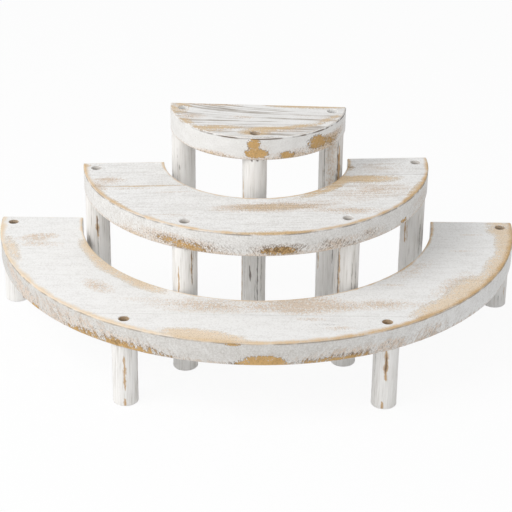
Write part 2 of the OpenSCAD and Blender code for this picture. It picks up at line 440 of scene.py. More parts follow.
class StandSizes(bpy.types.PropertyGroup):
    """Sizes that the frame doesn't give by itself"""

    middle_width: length("Middle width", "Width of the middle shelf, from its bay to its rim", 80.5)
    bottom_width: length("Bottom width", "Width of the bottom shelf, from its bay to its rim", 82.5)
    leg_inset: length("Leg inset", "Distance from a leg's side to the shelf's edges", 0.5)
    top_seam: length("Top seam", "Distance from the top shelf's back to its seam", 53)
    middle_left_seam: length("Middle left seam", "Distance from the middle shelf's back, left arm", 58)
    middle_right_seam: length("Middle right seam", "Distance from the middle shelf's back, right arm", 43)
    middle_neck: length("Middle neck", "Wood between the middle bay and the front seam", 26)
    bottom_rear_seam: length("Bottom rear seam", "Distance from the bottom shelf's back to a seam", 60)
    bottom_side_seam: length("Bottom side seam", "Distance from its back to the next seam", 130)
    bottom_neck: length("Bottom neck", "Wood between the bottom bay and the front seam", 29.5)
    edge_round: length("Edge rounding", "How far the shelves' edges are worn round", 1.1)
    seam_groove: length("Seam groove", "Width of the groove left along each glued seam", 0.12)
    counterbore_d: length("Counterbore", "Diameter of the holes over the screws", 10)
    counterbore_depth: length("Counterbore depth", "Depth of the holes over the screws", 9)
    shank_hole_d: length("Shank hole", "Diameter of the holes through the shelves", 5.1)
    pilot_d: length("Pilot hole", "Diameter of the hole down each leg", 4.6)
    pilot_depth: length("Pilot hole depth", "Depth of the hole down each leg", 39)
    foot_round: length("Foot rounding", "How far the foot of each leg is rounded", 1.5)
    # Also the depth to which the painted shade marks on the legs are carved
    check_depth: length("Check depth", "Depth of the drying cracks in the legs", 0.6)
    head_d: length("Head", "Diameter of the screws' pan head", 8.6)
    head_h: length("Head height", "Height of the screws' pan head", 2.8)
    screw_l: length("Screw length", "Length of a screw below its head", 50)
    screw_d: length("Screw", "Diameter over the screws' thread", 4.5)
    core_d: length("Core", "Diameter of the screws between the threads", 3.2)
    pitch: length("Pitch", "Distance from thread to thread", 2)
    point_l: length("Point", "Length of the screws' point", 6)
    cross_l: length("Cross", "Length of the slots in the head", 4.8)
    cross_w: length("Cross width", "Width of the slots in the head", 1.2)
    cross_depth: length("Cross depth", "Depth of the slots in the head", 1.4)


class StandColours(bpy.types.PropertyGroup):
    """Colours of the stand's finishes and of the stage"""

    white_paint: colour("White paint", "Chalky white paint on the wood", "#F5F4F2")
    grey_paint: colour("Grey paint", "Paint where it lies thin over old stain", "#C6C2BC")
    dowel_white: colour("Dowel white", "Paint on the legs, yellower than on the shelves", "#F4F2EF")
    dowel_grey: colour("Dowel grey", "Paint sunk into the legs' open grain", "#BFB9B0")
    thin_wash: colour("Thin wash", "Paint rubbed so thin that the wood tints it", "#E2D3C5")
    pale_wash: colour("Pale wash", "The same where it lies over paler wood", "#E1CFBC")
    grain_grey: colour("Grain", "Grain that shows through the paint", "#968A7D")
    pale_pine: colour("Pale pine", "Bare pine on the upper faces", "#E0C7A4")
    washed_pine: colour("Washed pine", "Bare pine with paint left in its pores", "#EDDAC1")
    band_pine: colour("Edge pine", "Bare pine along the shelves' edges", "#EBD4B4")
    golden_pine: colour("Golden pine", "Bare pine on the rims and edges", "#CFA86F")
    late_wood: colour("Late wood", "The dark lines of the grain in bare pine", "#A88656")
    # Also the colour of the painted shade down the drilled holes
    old_stain: colour("Old stain", "Dark stain left where the paint ends", "#5E4A36")
    streak_tan: colour("Streak", "Worn streaks on the legs", "#C09A6A")
    # Also the colour of the painted shade marks on the legs
    check_and_shade_brown: colour("Check", "Dirt in the drying cracks", "#54443A")
    zinc: colour("Zinc", "Zinc plate on the screws", "#B8B5AC")
    floor: colour("Floor", "The pale floor", "#F4F4F4")


class Riser:
    """Where one riser stands, from the frame: the middle of its back edge, its turn and its radii."""

    def __init__(self, name):
        sizes = bpy.context.scene.stand_sizes
        self.name = name
        self.body = name + "_riser"
        self.leg_places = {leg: middle_of(leg) for leg in LEGS[name]}
        first, *_, last = self.leg_places.values()
        low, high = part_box(LEGS[name][0])
        self.leg_r = (high.x - low.x) / 2
        self.low = high.z
        self.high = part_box(PLANKS[name][0][0])[1].z
        edge = self.leg_r + sizes.leg_inset
        span = last - first
        self.turn = math.atan2(span.y, span.x)
        self.outer = math.hypot(span.length / 2, edge) + edge
        width = {"top": self.outer, "middle": sizes.middle_width, "bottom": sizes.bottom_width}[name]
        self.inner = self.outer - width
        back = Vector((-math.sin(self.turn), math.cos(self.turn)))
        self.centre = (first + last) / 2 + edge * back
        middle_front_seam = self.inner + sizes.middle_neck
        bottom_front_seam = self.inner + sizes.bottom_neck
        self.seams = {
            "top": ((sizes.top_seam, sizes.top_seam),),
            "middle": (
                (sizes.middle_left_seam, sizes.middle_right_seam),
                (middle_front_seam, middle_front_seam),
            ),
            "bottom": (
                (sizes.bottom_rear_seam, sizes.bottom_rear_seam),
                (sizes.bottom_side_seam, sizes.bottom_side_seam),
                (bottom_front_seam, bottom_front_seam),
            ),
        }[name]

    def thickness(self):
        """Thickness of the riser's shelf."""
        return self.high - self.low


def middle_of(node):
    """The middle of a node's box, seen from above."""
    low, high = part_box(node)
    return ((low + high) / 2).to_2d()


def only(*pieces):
    """Leaves only these pieces selected, in object mode, with the first of them active."""
    if bpy.context.mode != "OBJECT":
        bpy.ops.object.mode_set(mode="OBJECT")
    bpy.ops.object.select_all(action="DESELECT")
    for piece in pieces:
        piece.select_set(True)
    if pieces:
        bpy.context.view_layer.objects.active = pieces[0]


def start(primitive, name, **settings):
    """Adds one of Blender's primitives with nothing else selected, and applies its place."""
    only()
    primitive(**settings)
    piece = bpy.context.object
    piece.name = name
    bpy.ops.object.transform_apply()
    return piece


def edit(piece, kind, test):
    """Opens a piece in edit mode with only the edges or faces selected that pass a test.

    The test of an edge gets the places of its two ends, and that of a face its middle and its normal.
    """
    only(piece)
    bpy.ops.object.mode_set(mode="EDIT")
    bpy.ops.mesh.select_mode(type=kind)
    bpy.ops.mesh.select_all(action="DESELECT")
    bpy.ops.object.mode_set(mode="OBJECT")
    mesh = piece.data
    if kind == "EDGE":
        found = [e for e in mesh.edges if test(*(mesh.vertices[i].co for i in e.vertices))]
    else:
        found = [f for f in mesh.polygons if test(f.center, f.normal)]
    if not found:
        raise RuntimeError(f"nothing on {piece.name} passes the test")
    for part in found:
        part.select = True
    bpy.ops.object.mode_set(mode="EDIT")


def faces_up(middle, normal):
    """A test for edit: passes the faces that look up."""
    return normal.z > 0.9


def faces_down(middle, normal):
    """A test for edit: passes the faces that look down."""
    return normal.z < -0.9


def draw_out(height):
    """Extrudes the selected faces up, or down by a negative height."""
    bpy.ops.mesh.extrude_region_move(TRANSFORM_OT_translate={"value": (0, 0, height)})


def duplicate(piece, name):
    """A copy of a piece, with its own mesh."""
    only(piece)
    bpy.ops.object.duplicate(linked=False)
    copy = bpy.context.object
    copy.name = name
    copy.data.name = name
    return copy


def join(pieces):
    """Joins pieces into the first of them."""
    only(*pieces)
    bpy.ops.object.join()
    return pieces[0]


def cut_with(piece, tool):
    """Cuts a piece with a tool, and removes the tool."""
    only(piece)
    modifier = piece.modifiers.new("cut", "BOOLEAN")
    modifier.operation = "DIFFERENCE"
    modifier.solver = "EXACT"
    modifier.object = tool
    bpy.ops.object.modifier_apply(modifier=modifier.name)
    bpy.data.objects.remove(tool)


def saw(piece, place, normal):
    """Cuts off what lies on the side of a plane that its normal points to, and closes the cut."""
    only(piece)
    bpy.ops.object.mode_set(mode="EDIT")
    bpy.ops.mesh.select_mode(type="VERT")
    bpy.ops.mesh.select_all(action="SELECT")
    bpy.ops.mesh.bisect(plane_co=place, plane_no=normal, use_fill=True, clear_outer=True)
    bpy.ops.mesh.select_all(action="SELECT")
    bpy.ops.mesh.normals_make_consistent(inside=False)
    bpy.ops.object.mode_set(mode="OBJECT")


def clouds(name, size):
    """A cloud pattern to carve with."""
    texture = bpy.data.textures.new(name, "CLOUDS")
    texture.noise_scale = size
    texture.noise_depth = 2
    return texture


def carve(piece, depth, weight, texture=None, by=None):
    """Pushes a piece's vertices inward by a depth times a weight, a function of each one's place.

    The depth varies by a pattern if one is given, which may be looked up in the space of an object.
    """
    group = piece.vertex_groups.new(name="carved")
    for vertex in piece.data.vertices:
        value = weight(vertex.co)
        if value > 0:
            group.add([vertex.index], value, "REPLACE")
    only(piece)
    modifier = piece.modifiers.new("carve", "DISPLACE")
    modifier.vertex_group = group.name
    modifier.strength = -depth
    modifier.mid_level = 0
    modifier.texture = texture
    if by is not None:
        modifier.texture_coords = "OBJECT"
        modifier.texture_coords_object = by
    bpy.ops.object.modifier_apply(modifier=modifier.name)
    bpy.ops.object.vertex_group_remove(all=True)


def hand_over(piece, node, body):
    """Makes a piece stand for its node on its body."""
    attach(piece, body)
    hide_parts(node)


def shelf_blank(riser, sizes):
    """A drilled half-round shelf with edges worn round, drawn about the middle of its back edge."""
    arc_step = 2 * MM
    thickness = riser.thickness()
    middle_z = (riser.low + riser.high) / 2
    blank = start(
        bpy.ops.mesh.primitive_cylinder_add, riser.name + "_blank",
        vertices=4 * round(math.pi * riser.outer / (2 * arc_step)),
        radius=riser.outer, depth=thickness, location=(0, 0, middle_z),
    )
    if riser.inner > 0:
        only()
        bpy.ops.mesh.primitive_cylinder_add(
            vertices=2 * round(math.pi * riser.inner / arc_step),
            radius=riser.inner, depth=2 * thickness, location=(0, 0, middle_z),
        )
        cut_with(blank, bpy.context.object)
    saw(blank, (0, 0, 0), (0, 1, 0))
    bpy.ops.object.mode_set(mode="EDIT")
    bpy.ops.mesh.select_all(action="DESELECT")
    bpy.ops.mesh.select_mode(type="EDGE")
    bpy.ops.mesh.edges_select_sharp(sharpness=math.radians(50))
    bpy.ops.mesh.bevel(
        offset=sizes.edge_round, offset_type="OFFSET", segments=4, profile=0.5, affect="EDGES"
    )
    bpy.ops.object.mode_set(mode="OBJECT")

    # Wear has left the rounded edges a little uneven, and always inward
    rounded = sizes.edge_round * 0.95

    def on_edge(place):
        from_face = min(place.z - riser.low, riser.high - place.z)
        reach = math.hypot(place.x, place.y)
        from_side = min(riser.outer - reach, abs(reach - riser.inner), -place.y)
        return int(0 < from_face < rounded and from_side < rounded)

    carve(blank, WORN_DEPTH, on_edge, clouds("wear", 7 * MM))
    cut_with(blank, drills(riser, sizes))
    return blank


def drills(riser, sizes):
    """The stepped shape that is drilled out over each leg of a riser, in the riser's own frame."""
    turned_back = Matrix.Rotation(-riser.turn, 2)
    chamfer = 0.5 * MM
    widened = 1 + 2 * 2 * chamfer / sizes.counterbore_d
    made = []
    for node, place in riser.leg_places.items():
        x, y = turned_back @ (place - riser.centre)
        drill = start(
            bpy.ops.mesh.primitive_cylinder_add, node + "_drill",
            vertices=HOLE_SIDES, radius=sizes.counterbore_d / 2, depth=sizes.counterbore_depth - chamfer,
            location=(x, y, riser.high - (sizes.counterbore_depth + chamfer) / 2),
        )
        edit(drill, "FACE", faces_up)
        draw_out(2 * chamfer)
        bpy.ops.transform.resize(value=(widened, widened, 1), center_override=(x, y, riser.high))
        edit(drill, "FACE", faces_down)
        bpy.ops.mesh.inset(thickness=(sizes.counterbore_d - sizes.shank_hole_d) / 2)
        draw_out(-riser.thickness())
        made.append(drill)
    return join(made)


def notch(plank, rear, riser):
    """Cuts a plank's rear edge further forward on the side whose seam lies further forward."""
    far = 2 * riser.outer
    side = -1 if rear[0] > rear[1] else 1
    only()
    bpy.ops.mesh.primitive_cube_add(size=far, location=(side * far / 2, far / 2 - max(rear), riser.low))
    cut_with(plank, bpy.context.object)


def make_planks(name):
    """The planks of one riser's shelf, each replacing its node."""
    sizes = bpy.context.scene.stand_sizes
    riser = Riser(name)
    blank = shelf_blank(riser, sizes)
    materials = (whitewashed_pine(riser), drilled_pine(riser))
    far = riser.outer + 10 * MM
    limits = ((0, 0), *riser.seams, (far, far))
    seam_places = [-place for pair in riser.seams for place in pair]
    weld = 0.002 * MM
    hole_floor = riser.low + 0.01 * MM
    hole_rim = riser.high - 0.6 * MM
    hole_reach = sizes.counterbore_d / 2 + 0.1 * MM

    def on_seam(a, b):
        on_plane = any(abs(a.y - y) < SAME and abs(b.y - y) < SAME for y in seam_places)
        from_face = min(abs(a.z - riser.high), abs(a.z - riser.low))
        return on_plane and abs(a.z - b.z) < SAME and from_face < SAME

    def in_hole(place):
        from_hole = min((place.to_2d() - leg).length for leg in riser.leg_places.values())
        return hole_floor < place.z < hole_rim and from_hole < hole_reach

    for node, row, side in PLANKS[name]:
        plank = duplicate(blank, node + "_planed")
        rear = limits[row]
        front = limits[row + 1]
        if side:
            saw(plank, (0, 0, 0), (-side, 0, 0))
        if row > 0:
            saw(plank, (0, -min(rear), 0), (0, 1, 0))
            if rear[0] != rear[1]:
                notch(plank, rear, riser)
        if row < len(riser.seams):
            saw(plank, (0, -front[side > 0], 0), (0, -1, 0))
        edit(plank, "EDGE", on_seam)
        bpy.ops.mesh.bevel(offset=sizes.seam_groove, segments=1, affect="EDGES")
        bpy.ops.mesh.select_all(action="SELECT")
        bpy.ops.mesh.remove_doubles(threshold=weld)

        # Put down where the riser stands, with smooth shading that leaves the flat faces flat
        only(plank)
        plank.location = (*riser.centre, 0)
        plank.rotation_euler.z = riser.turn
        bpy.ops.object.transform_apply()
        bpy.ops.object.shade_smooth_by_angle(angle=math.radians(35))
        normals = plank.modifiers.new("normals", "WEIGHTED_NORMAL")
        normals.keep_sharp = True
        bpy.ops.object.modifier_apply(modifier=normals.name)
        for material in materials:
            plank.data.materials.append(material)
        for face in plank.data.polygons:
            face.material_index = int(in_hole(face.center))
        hand_over(plank, node, riser.body)
    bpy.data.objects.remove(blank)


def near_line(place, centre, line, radius):
    """How near a point on a leg's side is to a check, a painted shade mark or a streak, from 0 to 1 on its
    middle line.

    The line wanders and its width varies along the leg, in waves that differ from line to line.
    """
    (top_angle, top_z), (low_angle, low_z), half_width, strength = line
    z = place.z / MM
    if not low_z < z < top_z:
        return 0
    share = (z - low_z) / (top_z - low_z)
    wobble = 0.9 * math.sin(z * 0.31 + top_angle) + 0.5 * math.sin(z * 0.83 + low_z)
    angle = low_angle + (top_angle - low_angle) * share + wobble
    apart = math.atan2(place.x - centre.x, centre.y - place.y) - math.radians(angle)
    apart = abs(math.atan2(math.sin(apart), math.cos(apart))) * radius / MM
    width = half_width * math.sqrt(4 * share * (1 - share)) * (1 + 0.35 * math.sin(z * 0.52 + half_width * 9))
    return strength * max(0, 1 - apart / max(width, 0.01))


def leg_blank(riser, sizes):
    """An upright dowel at the origin with a rounded foot, a pilot hole and rings close enough to carve."""
    ring_step = 3 * MM
    radius = riser.leg_r
    blank = start(
        bpy.ops.mesh.primitive_cylinder_add, riser.name + "_leg_blank",
        vertices=LEG_SIDES, radius=radius, depth=riser.low, location=(0, 0, riser.low / 2),
    )
    edit(blank, "EDGE", lambda a, b: abs(a.z) < SAME and abs(b.z) < SAME)
    bpy.ops.mesh.bevel(offset=sizes.foot_round, segments=3, affect="EDGES")
    edit(blank, "EDGE", lambda a, b: abs(a.z - b.z) > riser.low / 2)
    bpy.ops.mesh.subdivide(number_cuts=round(riser.low / ring_step))
    edit(blank, "FACE", faces_up)
    bpy.ops.mesh.inset(thickness=radius - sizes.pilot_d / 2)
    draw_out(-sizes.pilot_depth)
    bpy.ops.object.mode_set(mode="OBJECT")
    return blank


def make_legs(name):
    """The legs of one riser, each a copy of one dowel with its own cracks, painted shade marks and worn
    streaks.
    """
    sizes = bpy.context.scene.stand_sizes
    riser = Riser(name)
    blank = leg_blank(riser, sizes)
    painted = bpy.data.materials.get("whitewashed_dowel") or whitewashed_dowel()
    grain = clouds("grain", 1.3)
    bpy.ops.object.empty_add(location=(0, 0, 0))
    stretched = bpy.context.object
    stretched.scale = (MM, MM, 14 * MM)
    for node, centre in riser.leg_places.items():
        leg = duplicate(blank, node + "_turned")
        leg.location = (*centre, 0)
        bpy.ops.object.transform_apply()

        def outside(place):
            return (place.to_2d() - centre).length > riser.leg_r - 2 * MM

        def grain_at(place):
            return int(outside(place) and 2 * MM < place.z < riser.low - 1 * MM)

        def nearest(lines):
            def strength(place):
                near = (near_line(place, centre, line, riser.leg_r) for line in lines)
                return max(near, default=0) if outside(place) else 0
            return strength

        check_and_shade_at = nearest(CHECKS_AND_SHADE_MARKS.get(node, {}).values())
        streak_at = nearest(BARE_STREAKS.get(node, {}).values())
        # The check attribute carries the drying cracks and the painted shade marks of the table alike
        for attribute_name, value_at in (("check", check_and_shade_at), ("bare", streak_at)):
            attribute = leg.data.attributes.new(attribute_name, "FLOAT", "POINT")
            attribute.data.foreach_set("value", [value_at(v.co) for v in leg.data.vertices])
        carve(leg, GRAIN_DEPTH, grain_at, grain, stretched)
        # Cracks and painted shade marks are both carved in
        if node in CHECKS_AND_SHADE_MARKS:
            carve(leg, sizes.check_depth, check_and_shade_at)
        bpy.ops.object.shade_smooth_by_angle(angle=math.radians(50))
        leg.data.materials.append(painted)
        hand_over(leg, node, riser.body)
    bpy.data.objects.remove(stretched)
    bpy.data.objects.remove(blank)


def draw_shank(screw, sizes):
    """Draws the threaded shank down from the head, ring by ring: root, crest, root and so on to the point."""
    core_r = sizes.core_d / 2
    thread = ((0.45, core_r), (0.3, sizes.screw_d / 2), (0.25, core_r))
    edit(screw, "FACE", faces_down)
    bpy.ops.mesh.inset(thickness=sizes.head_d / 2 - core_r)
    down = 0
    radius = core_r

    def draw_on(step, grow):
        draw_out(-step)
        bpy.ops.transform.resize(value=(grow, grow, 1), center_override=(0, 0, -down - step))

    while down < sizes.screw_l - sizes.pitch:
        for share, wanted in thread:
            step = share * sizes.pitch
            past = down + step
            if past > sizes.screw_l - sizes.point_l:
                wanted *= min(1, (sizes.screw_l - past) / sizes.point_l)
            draw_on(step, wanted / radius)
            down = past
            radius = wanted
    draw_on(sizes.screw_l - down, 0.05)


def make_screws():
    """The screws of the three risers."""
    sizes = bpy.context.scene.stand_sizes
    plated = zinc_plated_steel()
    screw = start(
        bpy.ops.mesh.primitive_cylinder_add, "screw_blank",
        vertices=HOLE_SIDES, radius=sizes.head_d / 2, depth=sizes.head_h, location=(0, 0, sizes.head_h / 2),
    )
    edit(screw, "EDGE", lambda a, b: min(a.z, b.z) > sizes.head_h - SAME)
    bpy.ops.mesh.bevel(offset=sizes.head_h / 2, segments=5, affect="EDGES")
    for turn in (0, 90):
        only()
        bpy.ops.mesh.primitive_cube_add(size=1, location=(0, 0, sizes.head_h))
        slot = bpy.context.object
        slot.scale = (sizes.cross_l, sizes.cross_w, 2 * sizes.cross_depth)
        slot.rotation_euler.z = math.radians(turn)
        bpy.ops.object.transform_apply()
        cut_with(screw, slot)
    draw_shank(screw, sizes)
    only(screw)
    bpy.ops.object.shade_smooth_by_angle(angle=math.radians(35))

    # Each screw was driven home with its cross turned its own way
    turn_per_metre = 40
    for name in LEGS:
        riser = Riser(name)
        made = []
        for node, place in riser.leg_places.items():
            copy = duplicate(screw, node + "_screw")
            copy.rotation_euler.z = place.x * turn_per_metre
            copy.location = (*place, riser.high - sizes.counterbore_depth)
            bpy.ops.object.transform_apply()
            made.append(copy)
        screws = join(made)
        screws.name = name + "_screws_driven"
        screws.data.materials.append(plated)
        hand_over(screws, name + "_screws", riser.body)
    bpy.data.objects.remove(screw)


def node_adder(owner):
    """Empties the node tree of a material or world, and gives the function that adds a node to it."""
    owner.use_nodes = True
    tree = owner.node_tree
    tree.nodes.clear()

    def add(kind, inputs=(), operation=None, **settings):
        """Adds a shader node with its settings, and fills or links its sockets in order or by name.

        A node given for a socket stands for the first of its outputs that is in use.
        """
        made = tree.nodes.new("ShaderNode" + kind)
        if operation is not None:
            made.operation = operation
        for name, value in settings.items():
            setattr(made, name, value)
        sockets = [socket for socket in made.inputs if socket.enabled]
        if isinstance(inputs, dict):
            names = {socket.name: socket for socket in reversed(sockets)}
            pairs = [(names[name], value) for name, value in inputs.items()]
        else:
            pairs = zip(sockets, inputs)
        for socket, value in pairs:
            if isinstance(value, bpy.types.Node):
                value = next(output for output in value.outputs if output.enabled)
            if isinstance(value, bpy.types.NodeSocket):
                tree.links.new(value, socket)
            else:
                socket.default_value = value
        return made

    return add


def new_material(name):
    """A material with no nodes yet, and the function that adds them."""
    material = bpy.data.materials.new(name)
    return material, node_adder(material)


def spots(add, where, size, detail, roughness=0.5):
    """An uneven pattern whose spots are about this large each way."""
    scaled = add("Mapping", {"Vector": where, "Scale": [1 / length for length in size]})
    return add("TexNoise", {"Vector": scaled, "Scale": 1.0, "Detail": detail, "Roughness": roughness})


def coats(add, colour, *layers):
    """Lays coats over a colour, each given as its share, from 0 to 1, and its own colour."""
    for share, layer in layers:
        colour = add("Mix", (share, colour, layer), data_type="RGBA")
    return colour


def finish_surface(add, colour, roughness, height, strength, depth):
    """Ends a material with a surface whose fine relief comes from a pattern and a depth."""
    relief = add("Bump", {"Strength": strength, "Distance": depth, "Height": height})
    shader = add("BsdfPrincipled", {"Base Color": colour, "Roughness": roughness, "Normal": relief})
    add("OutputMaterial", {"Surface": shader})


def worn_places(add, places, across, where, by_board=None):
    """Adds up worn places, each an ellipsoid that fades from its middle out.

    The places are flat: across gives their middle and half size in the third direction. A place that keeps
    to one board is looked up in by_board, where each board lies BOARD_APART further forward.
    """
    wear = 0.0
    for board, middle, half_sizes, turn, strength in places.values():
        on_board = (middle[0], middle[1] - BOARD_APART * (board or 0))
        at = add(
            "Mapping",
            {
                "Vector": where if board is None else by_board,
                "Location": (*on_board, across[0]),
                "Rotation": (0, 0, math.radians(turn)),
                "Scale": (*half_sizes, across[1]),
            },
            vector_type="TEXTURE",
        )
        near = add("TexGradient", (at,), gradient_type="SPHERICAL").outputs["Fac"]
        wear = add("Math", (near, strength, wear), "MULTIPLY_ADD")
    return wear


class PineNodes:
    """The node network of one riser's boards, built in steps that use each other's nodes.

    All places and sizes in it are in mm, and all shares run from 0 to 1.
    """

    def __init__(self, riser):
        self.riser = riser
        self.look = FINISH[riser.name]
        self.colours = bpy.context.scene.stand_colours
        self.material, self.add = new_material(riser.name + "_whitewashed_pine")
        self.find_places()
        self.part_boards()
        self.draw_marks()

    def find_places(self):
        """Where a point lies on its riser, and 1 where it is on a face or 0 where it is on a rim."""
        riser = self.riser
        add = self.add
        coordinates = add("TexCoord").outputs
        self.place = add(
            "Mapping",
            {
                "Vector": coordinates["Object"],
                "Location": (*riser.centre, riser.low),
                "Rotation": (0, 0, riser.turn),
                "Scale": (MM, MM, MM),
            },
            vector_type="TEXTURE",
        )
        self.x, self.y, self.z = add("SeparateXYZ", (self.place,)).outputs
        self.forward = add("Math", (self.y, -1.0), "MULTIPLY")
        level = add("CombineXYZ", (self.x, self.y, 0.0))
        self.reach = add("VectorMath", (level,), "LENGTH")
        self.angle = add("Math", (self.x, self.forward), "ARCTAN2")
        self.degrees = add("Math", (self.angle, 180 / math.pi), "MULTIPLY")
        self.below_top = add("Math", (riser.thickness() / MM, self.z), "SUBTRACT")
        self.from_outer = add("Math", (riser.outer / MM, self.reach), "SUBTRACT")
        self.rim = add("CombineXYZ", (self.degrees, self.z, self.from_outer))
        facing = add("SeparateXYZ", (coordinates["Normal"],)).outputs["Z"]
        flatness = add("Math", (facing,), "ABSOLUTE")
        self.on_face = add("MapRange", (flatness, 0.55, 0.85))

    def part_boards(self):
        """Each board has its own grain, so the patterns of the boards in front of a seam are set apart."""
        add = self.add
        right_half = add("Math", (self.x, 0.0), "GREATER_THAN")
        passed = 0.0
        self.seam_line = 0.0
        for (left, right), seam_share in zip(self.riser.seams, self.look["seams"]):
            seam = add("Math", (right_half, (right - left) / MM, left / MM), "MULTIPLY_ADD")
            beyond = add("Math", (self.forward, seam), "GREATER_THAN")
            passed = add("Math", (passed, beyond), "ADD")
            off_seam = add("Math", (self.forward, seam), "SUBTRACT")
            off_seam = add("Math", (off_seam,), "ABSOLUTE")
            line = add("MapRange", (off_seam, 0.2, 1.1, seam_share, 0.0))
            self.seam_line = add("Math", (self.seam_line, line), "MAXIMUM")
        self.board_y = add("Math", (passed, -BOARD_APART, self.y), "MULTIPLY_ADD")
        self.by_board = add("CombineXYZ", (self.x, self.board_y, self.z))

    def draw_marks(self):
        """The patterns that wear, paint and wood share: marks along the grain, flecks and blotches."""
        add = self.add
        look = self.look

        # The grain runs along the boards on the faces, and slants forward at the back left of the top riser
        to_left = add("MapRange", (self.x, 60.0, -86.0))
        to_left = add("Math", (to_left, to_left), "MULTIPLY")
        to_back = add("MapRange", (self.y, -50.0, 0.0, 0.0, look["slant"]))
        slanted_y = add("Math", (to_left, to_back), "MULTIPLY")
        slanted_y = add("Math", (self.board_y, slanted_y), "SUBTRACT")
        along_grain = add("CombineXYZ", (self.x, slanted_y, self.z))
        line_size = (1 / look["grain_l"], 1 / look["line"], 1 / 3)
        along_grain = add("Mapping", {"Vector": along_grain, "Scale": line_size})

        # On the rims the marks run up the board, leaning away from the front
        stroke_w, stroke_l = look["stroke"]
        arc = add("Math", (self.angle, self.riser.outer / MM), "MULTIPLY")
        lean = add("Math", (self.angle,), "SIGN")
        lean = add("Math", (lean, self.z), "MULTIPLY")
        leaning = add("Math", (lean, -0.6, arc), "MULTIPLY_ADD")
        up_rim = add("CombineXYZ", (leaning, self.reach, self.z))
        up_rim = add("Mapping", {"Vector": up_rim, "Scale": (1 / stroke_w, 1 / 3, 1 / stroke_l)})
        marks_at = add("Mix", (self.on_face, up_rim, along_grain), data_type="VECTOR")
        self.marks = add("TexNoise", {"Vector": marks_at, "Scale": 1.0, "Detail": 3.0, "Roughness": 0.6})
        self.flecks = spots(add, self.by_board, (1.6, 2.4, 1.6), 2.0, 0.65)
        self.blotches = spots(add, self.by_board, (22, 9, 8), 3.0, 0.55)

    def edge_band(self):
        """Wear in a soft band, by the gap from an edge, over the face and more steeply down the rim."""
        add = self.add
        wander = spots(add, self.place, (14, 14, 14), 1.0)
        edges = [
            (self.from_outer, self.look["band"], self.look["band_share"]),
            (self.forward, 1.3, 0.6),
        ]
        if self.riser.inner > 0:
            from_bay = add("Math", (self.reach, self.riser.inner / MM), "SUBTRACT")
            edges.append((from_bay, 2.4, 0.9))
        band = 0.0
        for distance, width, strength in edges:
            gap = add("Math", (self.below_top, 3.0, distance), "MULTIPLY_ADD")
            for pattern in (wander, self.flecks):
                gap = add("Math", (pattern, 1.6 * width, gap), "MULTIPLY_ADD")
            near = add("MapRange", (gap, 1.9 * width, 3.1 * width, strength, 0.0))
            band = add("Math", (band, near), "MAXIMUM")
        return band

    def wear_from(self, on_faces, on_rims):
        """How strong the wear is that the tables of the faces and of the rims give."""
        add = self.add
        name = self.riser.name
        face_wear = worn_places(add, on_faces[name], FACE_DEPTH, self.place, self.by_board)
        rim_wear = worn_places(add, on_rims[name], RIM_DEPTH, self.rim)
        return add("Mix", (self.on_face, rim_wear, face_wear))

    def wear_paint(self):
        """How far the wood is bare and how far the paint is rubbed thin, as shares."""
        add = self.add
        look = self.look
        self.bare = self.wear_from(FACE_BARE, RIM_BARE)
        rubbed = self.wear_from(FACE_RUBBED, RIM_RUBBED)
        low_gap = add("Math", (self.z, self.from_outer), "ADD")
        low_edge = add("MapRange", (low_gap, 0.5, 4.5, 0.75, 0.0))
        self.rubbed = add("Math", (rubbed, low_edge), "ADD")

        # Paint gives way along the grain, in flecks and in blotches, and holds where nothing rubs it
        marks_weight = add("MapRange", (self.on_face, 0.0, 1.0, look["rim_marks"], look["face_marks"]))
        off_mean = add("Math", (self.marks, 0.5), "SUBTRACT")
        weakness = -1.1
        for pattern, weight in ((off_mean, marks_weight), (self.flecks, 2.8), (self.blotches, 1.4)):
            weakness = add("Math", (pattern, weight, weakness), "MULTIPLY_ADD")
        weakness = add("Math", (weakness, 0.3), "MAXIMUM")
        self.exposed = add("Math", (self.bare, weakness), "MULTIPLY")
        self.thinned = add("Math", (self.rubbed, weakness), "MULTIPLY")
        sharp_ends = add("MapRange", (self.exposed, 0.42, 0.58))
        soft_ends = add("MapRange", (self.exposed, 0.15, 0.95))
        self.bare_share = add("Mix", (self.on_face, sharp_ends, soft_ends))
        wash_share = add("MapRange", (self.thinned, 0.2, 1.0, 0.0, 0.95))

        # Chips of paint are left in the wash, fewer where it is rubbed most. They are drawn about twice as
        # coarse as the real ones, which are too fine to show.
        chips = spots(add, self.by_board, (2.6, 4.4, 2.6), 2.0, 0.6)
        least_wash = add("MapRange", (self.thinned, 1.0, 1.8, 1 - look["chips"], 1 - look["chips"] / 4))
        wash_left = add("MapRange", (chips, 0.48, 0.58, 1.0, least_wash))
        self.wash_share = add("Math", (wash_share, wash_left), "MULTIPLY")

    def paint(self):
        """White, greyer in patches and on the rims, with grey-brown grain showing through the faces."""
        add = self.add
        look = self.look
        colours = self.colours
        grey_rim = add("MapRange", (self.degrees, 10.0, 45.0, *look["grey_rim"]))
        grey_level = add("MapRange", (self.on_face, 0.0, 1.0, grey_rim, look["grey_face"]))
        for pattern, weight in ((self.flecks, look["mottle"]), (self.blotches, 0.5)):
            grey_level = add("Math", (pattern, weight, grey_level), "MULTIPLY_ADD")
        grey_level = add("Math", (grey_level, 0.25 + look["mottle"] / 2), "SUBTRACT")
        grain_share = add("MapRange", (self.marks, 0.515, 0.58, 0.0, look["grain"]))
        grain_zone = add("MapRange", (self.blotches, 0.35, 0.55, 0.6, 1.0))
        grain_share = add("Math", (grain_share, grain_zone), "MULTIPLY")
        stroke_share = add("MapRange", (self.marks, 0.5, 0.62, 0.0, look["rim_grain"]))
        stroke_zone = add("MapRange", (self.rubbed, 0.1, 0.8, 0.15, 1.0))
        stroke_share = add("Math", (stroke_share, stroke_zone), "MULTIPLY")
        grain_share = add("Mix", (self.on_face, stroke_share, grain_share))
        return coats(
            add, colours.white_paint, (grey_level, colours.grey_paint), (grain_share, colours.grain_grey)
        )

